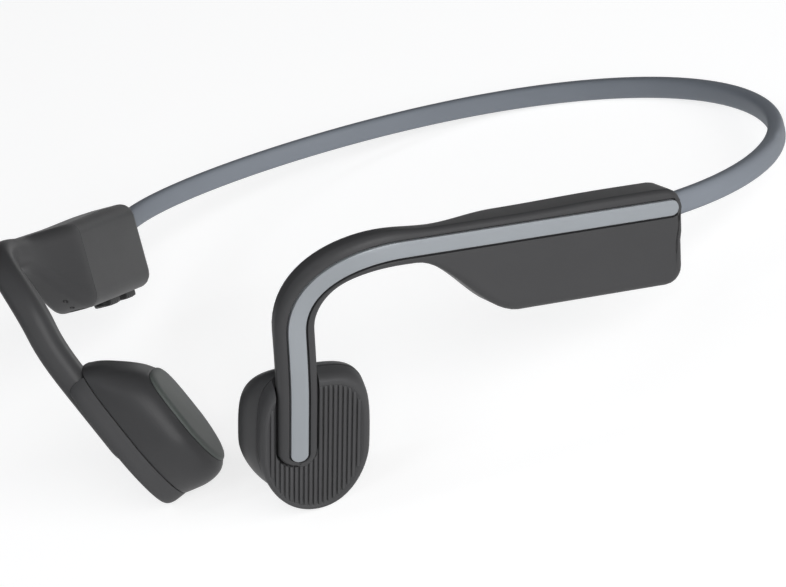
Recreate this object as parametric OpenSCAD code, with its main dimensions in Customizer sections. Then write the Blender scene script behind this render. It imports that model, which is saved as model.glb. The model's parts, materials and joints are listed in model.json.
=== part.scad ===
// Bone conduction headphones: a flexible neckband, two ear hooks with
// electronics pods, and two vibration transducers that rest on the cheekbones.
// The wearer faces -Y, the wearer's left side is +X and +Z is up.
// Everything is drawn once for the left side and mirrored for the right.
// The whole headset is tipped back at the end so that it stands on a table on
// both transducers and the back of the neckband.

/* [Neckband] */
// Height of the neckband's section
band_height = 3.9; // [3.4:0.1:4.4]
// Thickness of the neckband's section
band_thick = 2.9; // [2.6:0.1:3.3]
// Diameter of the springy metal wire in the neckband
core_wire_d = 1.0; // [0.7:0.1:1.1]
// Diameter of the cable that joins the two pods
band_cable_d = 0.9; // [0.6:0.1:1.0]

/* [Pod] */
// Thickness of the electronics pod
pod_thick = 8.6; // [8.4:0.1:9.4]
// Height of the pod above the accent strip's centre line, at its rear end
pod_above = 3.2; // [3.1:0.1:3.6]
// Height of the pod above the strip's centre line, at its front end
neck_above = 2.8; // [2.6:0.1:3.2]
// Height of the pod below the accent strip's centre line
pod_below = 13.0; // [12.6:0.1:13.6]
// Thickness of the pod's outer wall
pod_wall = 1.5; // [1.2:0.1:1.6]

/* [Ear hook] */
// Width of the hook's arm on its outer side, from the strip's centre line
arm_above = 3.4; // [3.0:0.1:3.6]
// Width of the hook's arm on its inner side, from the strip's centre line
arm_below = 3.0; // [2.8:0.1:3.4]
// Width of the bend on its inner side, from the strip's centre line
bend_below = 2.6; // [2.4:0.1:3.0]
// Thickness of the hook's arm
arm_thick = 4.8; // [4.7:0.1:5.2]
// Width of the light accent strip on the pod
strip_width = 2.6; // [2.2:0.1:2.8]
// Extra width of the accent strip beyond the bend
strip_flare = 0.3; // [0:0.05:0.4]
// Gap all round the accent strip
strip_gap = 0.3; // [0.2:0.05:0.4]

/* [Transducer] */
// Half width of the ribbed cover
cover_half_w = 9.2; // [9.0:0.1:9.4]
// Half height of the ribbed cover
cover_half_h = 14.0; // [13.6:0.1:14.4]
// Travel of the multifunction button
button_travel = 0.2; // [0.1:0.05:0.2]

/* [Controls] */
// Length of each volume button
volume_len = 7.6; // [6.5:0.1:7.8]
// Height by which the volume buttons stand out
volume_proud = 1.2; // [0.8:0.1:1.5]
// Travel of the volume buttons
volume_travel = 0.4; // [0.3:0.05:0.5]

/* [Hidden] */
$fn = 48;
eps = 0.01;
// Stance on the table
stance_pitch = 26.65;
stance_y = -0.07;
stance_z = 21.88;
// Frame of the left pod: rear end of the strip's centre line, on the outer face
pod_origin = [67.5, -7.0, -3.3];
pod_toe = 25.3;
pod_lean = 9;
pod_rear = 1.9;
pod_corner = 3;
// Frame of the left transducer: lower end of the strip, on the arm's outer face
tip_origin = [21.0, -52.2, -37.4];
tip_toe = 37;
tip_lean = 32;
// Lengths along the hook, from the strip's rear end
straight_len = 48;
bend_len = 24.5;
down_len = 12;
sway_len = 13;
tip_extra = 1.5;
hook_len = straight_len + bend_len + sway_len + down_len + tip_extra;
// Section counts
ring_n = 24;
tube_n = 8;
// Neckband route: four control points in plan, and the rise towards the back
band_p = [[64.8, 0], [76.6, 25.5], [47.3, 67.1], [0, 67.1]];
band_z0 = -2.9;
band_rise = 0.18;
band_curl = 0.0005;
band_insert = 6.2;
half_gap = 0.15;
wire_offset = 0.85;
bore_play = 0.1;
// Transducer depths below the arm's outer face
cover_top = 1.0;
cover_skirt = 4.45;
housing_top = 4.82;
pad_top = 13.5;
contact_top = 14.4;
cover_wall = 1.1;
rim_radius = 1.5;
arm_clear = 0.35;

// Which sub-part to show

// ---------- mathematics ----------
function smooth(a, b, x) = let (u = min(1, max(0, (x - a) / (b - a)))) u * u * (3 - 2 * u);
function mix(a, b, u) = a + (b - a) * u;
function unit(v) = v / norm(v);
function bezier(p, u) = pow(1 - u, 3) * p[0] + 3 * u * pow(1 - u, 2) * p[1]
  + 3 * u * u * (1 - u) * p[2] + pow(u, 3) * p[3];
function power_cos(a, m) = sign(cos(a)) * pow(abs(cos(a)), 2 / m);
function power_sin(a, m) = sign(sin(a)) * pow(abs(sin(a)), 2 / m);
function ahead(toe) = [-sin(toe), -cos(toe), 0];
function outward(toe, lean) = [cos(toe) * cos(lean), -sin(toe) * cos(lean), -sin(lean)];
function downward(toe, lean) = [-cos(toe) * sin(lean), sin(toe) * sin(lean), -cos(lean)];

// Closed solid through a list of rings with the same number of points
module loft(rings) {
  n = len(rings[0]);
  m = len(rings);
  sides = [for (j = [0:m - 2]) for (i = [0:n - 1]) for (k = [0, 1])
    let (a = j * n + i, b = j * n + (i + 1) % n)
    k == 0 ? [a, b, b + n] : [a, b + n, a + n]];
  first = [[for (i = [n - 1:-1:0]) i]];
  last = [[for (i = [0:n - 1]) (m - 1) * n + i]];
  polyhedron(points = [for (r = rings) each r], faces = concat(first, sides, last));
}

// ---------- the hook's line ----------
bend_start = pod_origin + ahead(pod_toe) * straight_len;
bend_end = [30.9, -60, -15.2];
bend_dir = unit([-0.25, 0.19, -0.95]);
bend_p = [bend_start, bend_start + ahead(pod_toe) * 10, bend_end - bend_dir * 8, bend_end];
sway_end = tip_origin - downward(tip_toe, tip_lean) * down_len;
sway_p = [bend_end, bend_end + bend_dir * sway_len / 3,
  sway_end - downward(tip_toe, tip_lean) * sway_len / 3, sway_end];
sway_start = straight_len + bend_len;
down_start = sway_start + sway_len;
function hook_point(s) = s < straight_len ? pod_origin + ahead(pod_toe) * s
  : s < sway_start ? bezier(bend_p, (s - straight_len) / bend_len)
  : s < down_start ? bezier(sway_p, (s - sway_start) / sway_len)
  : sway_end + downward(tip_toe, tip_lean) * (s - down_start);
function hook_turn(s) = smooth(straight_len - 8, down_start, s);
function hook_tangent(s) = unit(hook_point(s + 0.2) - hook_point(s - 0.2));
function hook_normal(s) = let (
    u = hook_turn(s),
    n = outward(mix(pod_toe, tip_toe, u), mix(pod_lean, tip_lean, u)),
    t = hook_tangent(s))
  unit(n - (n * t) * t);
function hook_place(s, v, n) = hook_point(s) + hook_normal(s) * n
  + cross(hook_tangent(s), hook_normal(s)) * v;

// Half widths of the moulding each side of the strip, and its thickness
function rear_round(s) = let (d = min(pod_corner, max(0, s + pod_rear)))
  pod_corner - sqrt(pow(pod_corner, 2) - pow(pod_corner - d, 2));
tip_r = (arm_above + arm_below) / 2;
function tip_round(s) = let (r = tip_r, d = max(0, s - (hook_len - r)))
  r - sqrt(max(0.02, r * r - d * d));
function edge_above(s) = mix(mix(pod_above, neck_above, smooth(8, 30, s)), arm_above, smooth(42, 54, s))
  - rear_round(s) - tip_round(s);
function edge_below(s) = mix(mix(pod_below, bend_below, smooth(28, 46, s)), arm_below, smooth(58, 68, s))
  - rear_round(s) - tip_round(s);
function hook_thick(s) = mix(pod_thick, arm_thick, smooth(29, 43, s));
function moulding_ring(s, grow) = let (
    top = edge_above(s) + grow,
    low = edge_below(s) + grow,
    t = hook_thick(s) + 2 * grow,
    m = mix(7, 5, smooth(28, 50, s)))
  [for (i = [0:ring_n - 1]) let (a = 360 * (i + 0.5) / ring_n)
    hook_place(s, (top - low) / 2 + (top + low) / 2 * power_cos(a, m),
      grow - t / 2 + t / 2 * power_sin(a, m))];
function stations(first, last, step) = [for (i = [0:round((last - first) / step)])
  first + i * (last - first) / round((last - first) / step)];
rear_stations = [for (a = [0:18:90]) -pod_rear + pod_corner * (1 - cos(a))];
tip_stations = [for (a = [0:15:90]) hook_len - tip_r * (1 - sin(a))];
hook_stations = concat(rear_stations, [8, 18, 26], stations(28, 48, 1.8),
  stations(49.4, sway_start, 1.3), stations(sway_start + 2, down_start, 2), [89], tip_stations);

// ---------- placing ----------
module stance() {
  translate([0, stance_y, stance_z])
    rotate([-stance_pitch, 0, 0])
      children();
}
module right_side() {
  mirror([1, 0, 0])
    children();
}
module in_pod() {
  translate(pod_origin)
    rotate([0, pod_lean, -pod_toe])
      children();
}
module in_transducer() {
  translate(tip_origin)
    rotate([0, tip_lean, -tip_toe])
      children();
}
// A block given by its lowest and highest corners
module block(low, high) {
  translate(low)
    cube(high - low);
}

// ---------- hook moulding ----------
module moulding(grow = 0) {
  loft([for (s = hook_stations) moulding_ring(s, grow)]);
}
module strip_body(width, top, depth, first, last) {
  round_in = [for (a = [0:22.5:90]) 1 - cos(a)];
  rear_r = width / 2;
  front_r = (width + strip_flare) / 2;
  list = concat([for (d = round_in) first + rear_r * d], [10, 25, 38, 46],
    stations(48, sway_start, 1.5), stations(sway_start + 2, down_start, 2), [90],
    [for (i = [0:4]) last - front_r * round_in[4 - i]]);
  loft([for (s = list)
    let (r = mix(rear_r, front_r, smooth(44, 66, s)), d = min(r, s - first, last - s),
      h = sqrt(max(0.03, r * r - pow(r - d, 2))))
    [hook_place(s, h, top), hook_place(s, -h, top), hook_place(s, -h, -depth),
     hook_place(s, h, -depth)]]);
}
// Round lead or bore that follows the hook at a depth below its outer face
module hook_tube(d, first, last, depth) {
  loft([for (s = stations(first, last, 2.2))
    [for (i = [0:tube_n - 1]) let (a = 360 * i / tube_n)
      hook_place(s, d / 2 * cos(a), d / 2 * sin(a) - depth)]]);
}
pod_floor = -pod_below + 1.5;
pod_roof = pod_above - 1.6;
pod_back = -0.2;
pod_front = -27;
split_x = -(pod_thick - 2.0);
module pod_cavity() {
  in_pod()
    block([split_x - 0.6, pod_front, pod_floor], [-pod_wall, pod_back, pod_roof]);
}
module cover_zone(gap = 0) {
  in_pod()
    block([-20, pod_front - 1.8 - gap, -20], [split_x + gap, 10, 20]);
}
module arm_frame_shape() {
  difference() {
    moulding();
    pod_cavity();
    cover_zone();
    strip_body(strip_width + 2 * strip_gap, 1, 0.75, -1.2 - strip_gap,
      hook_len - tip_extra + strip_gap);
    hook_tube(1.3, 24, hook_len - 9, 2.6);
    band_body(band_height + 0.04, band_thick + 0.04);
  }
}
module inner_cover_shape() {
  difference() {
    intersection() {
      moulding();
      cover_zone();
    }
    pod_cavity();
    band_body(band_height + 0.04, band_thick + 0.04);
  }
}
module accent_strip_shape() {
  strip_body(strip_width, 0.02, 0.72, -1.2, hook_len - tip_extra);
}
module arm_cable_shape() {
  hook_tube(1.0, 26.2, hook_len - 9.5, 2.6);
}

// ---------- neckband ----------
function band_plan(u) = bezier(band_p, u);
function band_lift(y) = band_z0 + band_rise * y + band_curl * y * y;
function band_point(u) = u < 0 ? band_point(0) - unit(band_point(0.01) - band_point(0)) * (-u)
  : let (q = band_plan(u)) [q[0], q[1], band_lift(q[1])];
function band_tangent(u) = u < 0 ? unit(band_point(0.01) - band_point(0))
  : u > 0.999 ? [-1, 0, 0] : unit(band_point(min(1, u + 0.005)) - band_point(max(0, u - 0.005)));
function band_side(u) = unit(cross([0, -band_slope(u), 1], band_tangent(u)));
function band_slope(u) = band_rise + 2 * band_curl * band_plan(max(0, u))[1];
function band_up(u) = cross(band_tangent(u), band_side(u));
function band_place(u, v, n) = band_point(u) + band_up(u) * v + band_side(u) * n;
band_stations = concat([-band_insert, -band_insert / 2], [for (i = [0:22]) i / 22]);
// Section of the band: a rounded rectangle, taller than it is thick
module band_body(h, w) {
  loft([for (u = band_stations)
    [for (i = [0:15]) let (a = 22.5 * (i + 0.5))
      band_place(u, h / 2 * power_cos(a, 3.2), w / 2 * power_sin(a, 3.2))]]);
}
module band_tube(d, v) {
  loft([for (u = band_stations)
    [for (i = [0:7]) let (a = 45 * i)
      band_place(u, v + d / 2 * cos(a), d / 2 * sin(a))]]);
}
// Keeps one half clear of the other at the middle of the back
module half_of_band() {
  difference() {
    children();
    block([-10, 40, -20], [half_gap, 90, 40]);
  }
}
module band_half() {
  half_of_band()
    difference() {
      band_body(band_height, band_thick);
      band_tube(core_wire_d + bore_play, wire_offset);
      band_tube(band_cable_d + bore_play, -wire_offset);
    }
}
module core_wire_half() {
  half_of_band()
    band_tube(core_wire_d, wire_offset);
}
module band_cable_half() {
  half_of_band()
    band_tube(band_cable_d, -wire_offset);
}

// ---------- transducer ----------
// Outline: squarer at the top, rounder towards the bottom
body_y = 3.0;
body_z = 1.9;
function outline(x, cy, cz, hy, hz) = [for (i = [0:35]) let (a = 10 * i, m = sin(a) > 0 ? 3.6 : 2.1)
  [x, cy + hy * power_cos(a, m), cz + hz * power_sin(a, m)]];
// Each layer is [depth, centre y, centre z, half width, half height]
module layers(list) {
  loft([for (q = list) outline(-q[0], q[1], q[2], q[3], q[4])]);
}
cover_layers = [for (a = [0:15:90])
  [cover_top + rim_radius * (1 - sin(a)), body_y, body_z,
   cover_half_w - rim_radius * (1 - cos(a)), cover_half_h - rim_radius * (1 - cos(a))]];
module arm_notch() {
  loft([for (s = concat(stations(66, down_start, 2), [89], tip_stations)) moulding_ring(s, arm_clear)]);
}
module ribbed_cover_shape() {
  difference() {
    in_transducer()
      difference() {
        layers(concat([for (i = [6:-1:0]) cover_layers[i]],
          [[cover_skirt, body_y, body_z, cover_half_w, cover_half_h]]));
        layers([for (x = [cover_top + 1.5, cover_skirt + 1])
          [x, body_y, body_z, cover_half_w - cover_wall, cover_half_h - cover_wall]]);
      }
    arm_notch();
  }
}
// Inner end of the housing: its offset from the cover's centre and from the cover's half sizes
inner_y = -1.2;
inner_z = -3.6;
inner_w = -0.8;
inner_h = -4.2;
housing_layers = [
  [housing_top, body_y, body_z, cover_half_w, cover_half_h],
  [6.8, body_y - 0.5, body_z - 0.8, cover_half_w + 0.5, cover_half_h - 0.3],
  [8.8, body_y - 0.8, body_z - 1.8, cover_half_w + 0.8, cover_half_h - 0.9],
  [10.8, body_y - 1.0, body_z - 2.7, cover_half_w + 0.7, cover_half_h - 1.8],
  [12.4, body_y - 1.1, body_z - 3.3, cover_half_w + 0.1, cover_half_h - 2.9],
  [pad_top, body_y + inner_y, body_z + inner_z, cover_half_w + inner_w, cover_half_h + inner_h]];
motor_y = 2.2;
motor_z = 0.4;
module motor_space(x0, x1, d) {
  translate([-x0, motor_y, motor_z])
    rotate([0, -90, 0])
      cylinder(d = d, h = x1 - x0);
}
module transducer_housing_shape() {
  in_transducer()
    difference() {
      layers(housing_layers);
      motor_space(5.9, 10.7, 13.6);
    }
}
module contact_pad_shape() {
  in_transducer()
    layers([
      [pad_top, body_y + inner_y, body_z + inner_z, cover_half_w + inner_w, cover_half_h + inner_h],
      [pad_top + 0.5, body_y + inner_y, body_z + inner_z,
       cover_half_w + inner_w - 0.5, cover_half_h + inner_h - 0.7],
      [contact_top, body_y + inner_y, body_z + inner_z,
       cover_half_w + inner_w - 1.3, cover_half_h + inner_h - 1.5]]);
}
module yoke_shape() {
  in_transducer()
    difference() {
      motor_space(6.6, 9.6, 11.6);
      motor_space(7.5, 9.7, 9.4);
    }
}
module magnet_shape() {
  in_transducer()
    motor_space(7.5, 9.3, 6.4);
}
module voice_coil_shape() {
  in_transducer()
    difference() {
      motor_space(7.9, 10.3, 8.6);
      motor_space(7.8, 10.4, 7.2);
    }
}
module flexure_shape() {
  in_transducer()
    difference() {
      motor_space(10.3, 10.6, 13.4);
      for (a = [0:120:240])
        translate([0, motor_y, motor_z])
          rotate([a, 0, 0])
            translate([-11, -1.6, 4.4])
              cube([2, 3.2, 1.4]);
    }
}
module button_board_shape() {
  in_transducer()
    block([-(housing_top), 5.9, 1.5], [-(housing_top - 0.6), 9.1, 8.5]);
}
module button_switch_shape() {
  in_transducer()
    union() {
      block([-(housing_top - 0.6), 6.2, 3.6], [-(housing_top - 1.1), 8.8, 6.4]);
      translate([-(housing_top - 1.1), 7.5, 5])
        rotate([0, 90, 0])
          cylinder(d = 1.4, h = 0.45);
    }
}

// ---------- left pod ----------
module battery_cell_shape() {
  in_pod()
    block([-6.3, pod_front + 1.6, pod_floor + 0.8], [-2.1, pod_back - 3.6, pod_roof - 0.6]);
}
module battery_foam_shape() {
  in_pod()
    block([-2.1, pod_front + 4, pod_floor + 2], [-pod_wall, pod_back - 6, pod_roof - 2]);
}
module battery_board_shape() {
  in_pod()
    block([-5.6, pod_back - 3.0, pod_floor + 1.6], [-2.4, pod_back - 2.2, pod_roof - 1.6]);
}

// ---------- right pod (drawn as its mirror image) ----------
port_y = -24.4;
port_x = -4.3;
module main_board_shape() {
  in_pod()
    block([-5.9, pod_front + 0.6, pod_floor + 4.8], [-5.1, pod_back - 2.2, pod_roof - 0.5]);
}
module wireless_module_shape() {
  in_pod()
    block([-5.1, -15, pod_floor + 6], [-3.6, -5, pod_roof - 1]);
}
module usb_receptacle_shape() {
  in_pod()
    difference() {
      block([port_x - 1.6, port_y - 4.5, -pod_below + 1.35], [port_x + 1.6, port_y + 4.5, pod_floor + 4.5]);
      block([port_x - 1.3, port_y - 4.2, -pod_below], [port_x + 1.3, port_y + 4.2, pod_floor + 3.6]);
      block([port_x - 3, port_y - 5, pod_floor + 4.1], [port_x - 0.9, port_y + 5, pod_floor + 5]);
    }
}
volume_y = [-5.6, -14.2];
module volume_switch(y) {
  in_pod()
    union() {
      block([port_x - 1.6, y - 1.7, pod_floor + 1.3], [port_x + 1.6, y + 1.7, pod_floor + 2.6]);
      translate([port_x, y, pod_floor + 1.0])
        cylinder(d = 1.2, h = 0.4);
    }
}
module slot_shape(len, width, h) {
  translate([0, -len / 2 + width / 2, 0])
    cylinder(d = width, h = h);
  translate([0, len / 2 - width / 2, 0])
    cylinder(d = width, h = h);
  translate([-width / 2, -len / 2 + width / 2, 0])
    cube([width, len - width, h]);
}
module volume_button(y) {
  in_pod()
    translate([port_x, y, 0])
      difference() {
        union() {
          translate([0, 0, -pod_below - volume_proud])
            slot_shape(volume_len, 3.4, volume_proud + 1.6);
          translate([0, 0, pod_floor + 0.05])
            slot_shape(volume_len + 0.6, 4.2, 0.4);
        }
        for (i = [-2:2])
          translate([-3, i * 1.3 - 0.3, -pod_below - volume_proud - 1])
            cube([6, 0.6, 1.35]);
      }
}
mic_y = -33.6;
mic_z = -8.6;
module microphone_shape() {
  in_pod()
    translate([port_x, mic_y, mic_z])
      difference() {
        cylinder(d = 2.6, h = 1.2);
        translate([0, 0, -eps])
          cylinder(d = 0.7, h = 0.3);
      }
}
light_y = -31.3;
module light_pipe_shape() {
  in_pod()
    translate([port_x, light_y, -pod_below + 1.3])
      cylinder(d = 0.8, h = 3);
}
flap_len = 10.2;
flap_wide = 4.6;
module port_cover_shape() {
  in_pod()
    union() {
      block([port_x - flap_wide / 2, port_y - flap_len / 2, -pod_below + 0.05],
        [port_x + flap_wide / 2, port_y + flap_len / 2, -pod_below + 0.85]);
      translate([port_x, port_y, -pod_below + 0.8])
        slot_shape(7.6, 2.0, 0.9);
    }
}
module right_pod_openings() {
  in_pod() {
    block([port_x - 1.75, port_y - 4.65, -pod_below - 1], [port_x + 1.75, port_y + 4.65, pod_floor + 4.7]);
    block([port_x - flap_wide / 2 - 0.2, port_y - flap_len / 2 - 0.2, -pod_below - 1],
      [port_x + flap_wide / 2 + 0.2, port_y + flap_len / 2 + 0.2, -pod_below + 1.1]);
    for (y = volume_y)
      translate([port_x, y, -pod_below - 1])
        slot_shape(volume_len + 0.4, 3.8, 4);
    translate([port_x, light_y, -pod_below - 1])
      cylinder(d = 0.9, h = 5.4);
    translate([port_x, mic_y, -pod_below - 1])
      cylinder(d = 0.9, h = 6);
    block([port_x - 1.35, mic_y - 1.35, mic_z], [port_x + 1.35, pod_front + 1, mic_z + 1.3]);
  }
}
module right_arm_frame_shape() {
  difference() {
    arm_frame_shape();
    right_pod_openings();
  }
}
module right_inner_cover_shape() {
  difference() {
    inner_cover_shape();
    right_pod_openings();
  }
}

// ---------- the sub-parts ----------
rubber = [0.36, 0.38, 0.4];
black = [0.12, 0.12, 0.12];
silver = [0.6, 0.63, 0.65];
dark = [0.25, 0.25, 0.25];
steel = [0.7, 0.7, 0.72];
copper = [0.75, 0.45, 0.25];
green = [0.1, 0.35, 0.2];
module band_left() {
  color(rubber)
    stance()
      band_half();
}
module band_right() {
  color(rubber)
    stance()
      right_side()
        band_half();
}
module core_wire_left() {
  color(steel)
    stance()
      core_wire_half();
}
module core_wire_right() {
  color(steel)
    stance()
      right_side()
        core_wire_half();
}
module band_cable_left() {
  color(copper)
    stance()
      band_cable_half();
}
module band_cable_right() {
  color(copper)
    stance()
      right_side()
        band_cable_half();
}
module arm_frame_left() {
  color(black)
    stance()
      arm_frame_shape();
}
module arm_frame_right() {
  color(black)
    stance()
      right_side()
        right_arm_frame_shape();
}
module pod_inner_cover_left() {
  color(dark)
    stance()
      inner_cover_shape();
}
module pod_inner_cover_right() {
  color(dark)
    stance()
      right_side()
        right_inner_cover_shape();
}
module accent_strip_left() {
  color(silver)
    stance()
      accent_strip_shape();
}
module accent_strip_right() {
  color(silver)
    stance()
      right_side()
        accent_strip_shape();
}
module arm_cable_left() {
  color(copper)
    stance()
      arm_cable_shape();
}
module arm_cable_right() {
  color(copper)
    stance()
      right_side()
        arm_cable_shape();
}
module transducer_housing_left() {
  color(black)
    stance()
      transducer_housing_shape();
}
module transducer_housing_right() {
  color(black)
    stance()
      right_side()
        transducer_housing_shape();
}
module ribbed_cover_left() {
  color(dark)
    stance()
      ribbed_cover_shape();
}
module ribbed_cover_right() {
  color(dark)
    stance()
      right_side()
        ribbed_cover_shape();
}
module contact_pad_left() {
  color(rubber)
    stance()
      contact_pad_shape();
}
module contact_pad_right() {
  color(rubber)
    stance()
      right_side()
        contact_pad_shape();
}
module yoke_left() {
  color(steel)
    stance()
      yoke_shape();
}
module yoke_right() {
  color(steel)
    stance()
      right_side()
        yoke_shape();
}
module magnet_left() {
  color(steel)
    stance()
      magnet_shape();
}
module magnet_right() {
  color(steel)
    stance()
      right_side()
        magnet_shape();
}
module voice_coil_left() {
  color(copper)
    stance()
      voice_coil_shape();
}
module voice_coil_right() {
  color(copper)
    stance()
      right_side()
        voice_coil_shape();
}
module flexure_left() {
  color(steel)
    stance()
      flexure_shape();
}
module flexure_right() {
  color(steel)
    stance()
      right_side()
        flexure_shape();
}
module battery_cell() {
  color(silver)
    stance()
      battery_cell_shape();
}
module battery_board() {
  color(green)
    stance()
      battery_board_shape();
}
module battery_foam() {
  color(dark)
    stance()
      battery_foam_shape();
}
module main_board() {
  color(green)
    stance()
      right_side()
        main_board_shape();
}
module wireless_module() {
  color(silver)
    stance()
      right_side()
        wireless_module_shape();
}
module usb_receptacle() {
  color(steel)
    stance()
      right_side()
        usb_receptacle_shape();
}
module volume_switch_front() {
  color(steel)
    stance()
      right_side()
        volume_switch(volume_y[1]);
}
module volume_switch_rear() {
  color(steel)
    stance()
      right_side()
        volume_switch(volume_y[0]);
}
module volume_up_button() {
  color(black)
    stance()
      right_side()
        volume_button(volume_y[1]);
}
module volume_down_button() {
  color(black)
    stance()
      right_side()
        volume_button(volume_y[0]);
}
module microphone() {
  color(steel)
    stance()
      right_side()
        microphone_shape();
}
module light_pipe() {
  color(silver)
    stance()
      right_side()
        light_pipe_shape();
}
module port_cover() {
  color(rubber)
    stance()
      right_side()
        port_cover_shape();
}
module button_board() {
  color(green)
    stance()
      button_board_shape();
}
module button_switch() {
  color(steel)
    stance()
      button_switch_shape();
}

band_left();
band_right();
core_wire_left();
core_wire_right();
band_cable_left();
band_cable_right();
arm_frame_left();
arm_frame_right();
pod_inner_cover_left();
pod_inner_cover_right();
accent_strip_left();
accent_strip_right();
arm_cable_left();
arm_cable_right();
transducer_housing_left();
transducer_housing_right();
ribbed_cover_left();
ribbed_cover_right();
contact_pad_left();
contact_pad_right();
yoke_left();
yoke_right();
magnet_left();
magnet_right();
voice_coil_left();
voice_coil_right();
flexure_left();
flexure_right();
battery_cell();
battery_board();
battery_foam();
main_board();
wireless_module();
usb_receptacle();
volume_switch_front();
volume_switch_rear();
volume_up_button();
volume_down_button();
microphone();
light_pipe();
port_cover();
button_board();
button_switch();
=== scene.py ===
"""Bone conduction headphones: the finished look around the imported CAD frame.

Shapes are drawn in millimetres for the wearer's left side, in the same upright
frame as the CAD source: +X left, -Y forward, +Z up. The right side is its
mirror image, and row_points() tips everything back into the frame's stance.
"""
import json
import math

import bmesh
import bpy
import numpy as np
from mathutils import Matrix, Vector


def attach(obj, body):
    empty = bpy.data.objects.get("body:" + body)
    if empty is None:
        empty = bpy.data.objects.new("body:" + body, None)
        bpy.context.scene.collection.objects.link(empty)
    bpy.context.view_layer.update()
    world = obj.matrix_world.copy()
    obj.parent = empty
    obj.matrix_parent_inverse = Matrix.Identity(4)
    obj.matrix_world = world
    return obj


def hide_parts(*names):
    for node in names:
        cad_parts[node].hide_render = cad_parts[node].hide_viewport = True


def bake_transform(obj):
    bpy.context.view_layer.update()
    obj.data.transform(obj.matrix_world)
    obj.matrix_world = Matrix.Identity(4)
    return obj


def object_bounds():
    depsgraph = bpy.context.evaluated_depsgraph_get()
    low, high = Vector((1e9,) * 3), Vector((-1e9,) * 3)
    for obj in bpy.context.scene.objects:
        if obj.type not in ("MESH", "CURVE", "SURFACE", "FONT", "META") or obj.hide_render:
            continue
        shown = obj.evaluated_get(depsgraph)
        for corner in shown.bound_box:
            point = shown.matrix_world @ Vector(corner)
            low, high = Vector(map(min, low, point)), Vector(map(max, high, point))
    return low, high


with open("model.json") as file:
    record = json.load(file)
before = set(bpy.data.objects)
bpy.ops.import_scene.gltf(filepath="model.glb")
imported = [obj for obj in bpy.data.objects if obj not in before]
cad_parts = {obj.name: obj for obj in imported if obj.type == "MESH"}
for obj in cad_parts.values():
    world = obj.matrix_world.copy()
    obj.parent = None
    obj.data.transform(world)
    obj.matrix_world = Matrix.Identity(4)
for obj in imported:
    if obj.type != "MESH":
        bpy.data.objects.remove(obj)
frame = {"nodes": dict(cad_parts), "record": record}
CAD_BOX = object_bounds()
CAD_NODES = frame["nodes"]
MM = 0.001

# ---------- driving dimensions, the same as the CAD source's ----------
STANCE_PITCH, STANCE_Y, STANCE_Z = 26.65, -0.07, 21.88

BAND_HEIGHT, BAND_THICK = 3.9, 2.9
BAND_ROUTE = [(64.8, 0.0), (76.6, 25.5), (47.3, 67.1), (0.0, 67.1)]
BAND_Z0, BAND_RISE, BAND_CURL, BAND_INSERT = -2.9, 0.18, 0.0005, 6.2

POD_ORIGIN = np.array([67.5, -7.0, -3.3])
POD_TOE, POD_LEAN = 25.3, 9.0
POD_THICK, POD_ABOVE, POD_BELOW, POD_WALL = 8.6, 3.2, 13.0, 1.5
POD_REAR, POD_CORNER = 1.9, 3.0
POD_FRONT, POD_BACK = -27.0, -0.2
POD_FLOOR, POD_ROOF = 1.5 - POD_BELOW, POD_ABOVE - 1.6
SPLIT_X = 2.0 - POD_THICK

TIP_ORIGIN = np.array([21.0, -52.2, -37.4])
TIP_TOE, TIP_LEAN = 37.0, 32.0
NECK_ABOVE, ARM_ABOVE, ARM_BELOW, BEND_BELOW, ARM_THICK = 2.8, 3.4, 3.0, 2.6, 4.8
TIP_RADIUS = (ARM_ABOVE + ARM_BELOW) / 2
STRAIGHT_LEN, BEND_LEN, SWAY_LEN, DOWN_LEN, TIP_EXTRA = 48.0, 24.5, 13.0, 12.0, 1.5
SWAY_START = STRAIGHT_LEN + BEND_LEN
DOWN_START = SWAY_START + SWAY_LEN
HOOK_LEN = DOWN_START + DOWN_LEN + TIP_EXTRA
BEND_END = np.array([30.9, -60.0, -15.2])
STRIP_WIDTH, STRIP_FLARE, STRIP_GAP, STRIP_REAR = 2.6, 0.3, 0.3, -1.2

COVER_HALF_W, COVER_HALF_H, BODY_Y, BODY_Z = 9.2, 14.0, 3.0, 1.9
COVER_TOP, HOUSING_TOP, PAD_TOP, CONTACT_TOP = 1.0, 4.75, 13.5, 14.4
COVER_SKIRT = {"left": 4.5, "right": 4.66}
ARM_CLEAR = 0.35
RIB_PITCH = 0.8

PORT_X, PORT_Y, FLAP_LEN, FLAP_WIDE = -4.3, -24.4, 10.2, 4.6
VOLUME_Y = {"volume_up": -14.2, "volume_down": -5.6}
VOLUME_LEN, VOLUME_WIDE, VOLUME_PROUD = 7.6, 3.4, 1.2
MIC_Y, LIGHT_Y = -33.6, -31.3


# ---------- mathematics ----------
def mix(a, b, t):
    return a + (b - a) * t


def smooth(a, b, x):
    t = min(1.0, max(0.0, (x - a) / (b - a)))
    return t * t * (3 - 2 * t)


def unit(v):
    return v / np.linalg.norm(v)


def bezier(points, t):
    weights = ((1 - t) ** 3, 3 * t * (1 - t) ** 2, 3 * t * t * (1 - t), t ** 3)
    return sum(w * np.array(p, float) for w, p in zip(weights, points))


def sine(degrees):
    return math.sin(math.radians(degrees))


def cosine(degrees):
    return math.cos(math.radians(degrees))


def power(value, exponent):
    """A sine or cosine turned into a superellipse's coordinate."""
    return math.copysign(abs(value) ** (2 / exponent), value)


def spaced(first, last, step):
    count = max(1, round((last - first) / step))
    return [mix(first, last, i / count) for i in range(count + 1)]


def ahead(toe):
    return np.array([-sine(toe), -cosine(toe), 0.0])


def outward(toe, lean):
    return np.array([cosine(toe) * cosine(lean), -sine(toe) * cosine(lean), -sine(lean)])


def downward(toe, lean):
    return np.array([-cosine(toe) * sine(lean), sine(toe) * sine(lean), -cosine(lean)])


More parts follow.
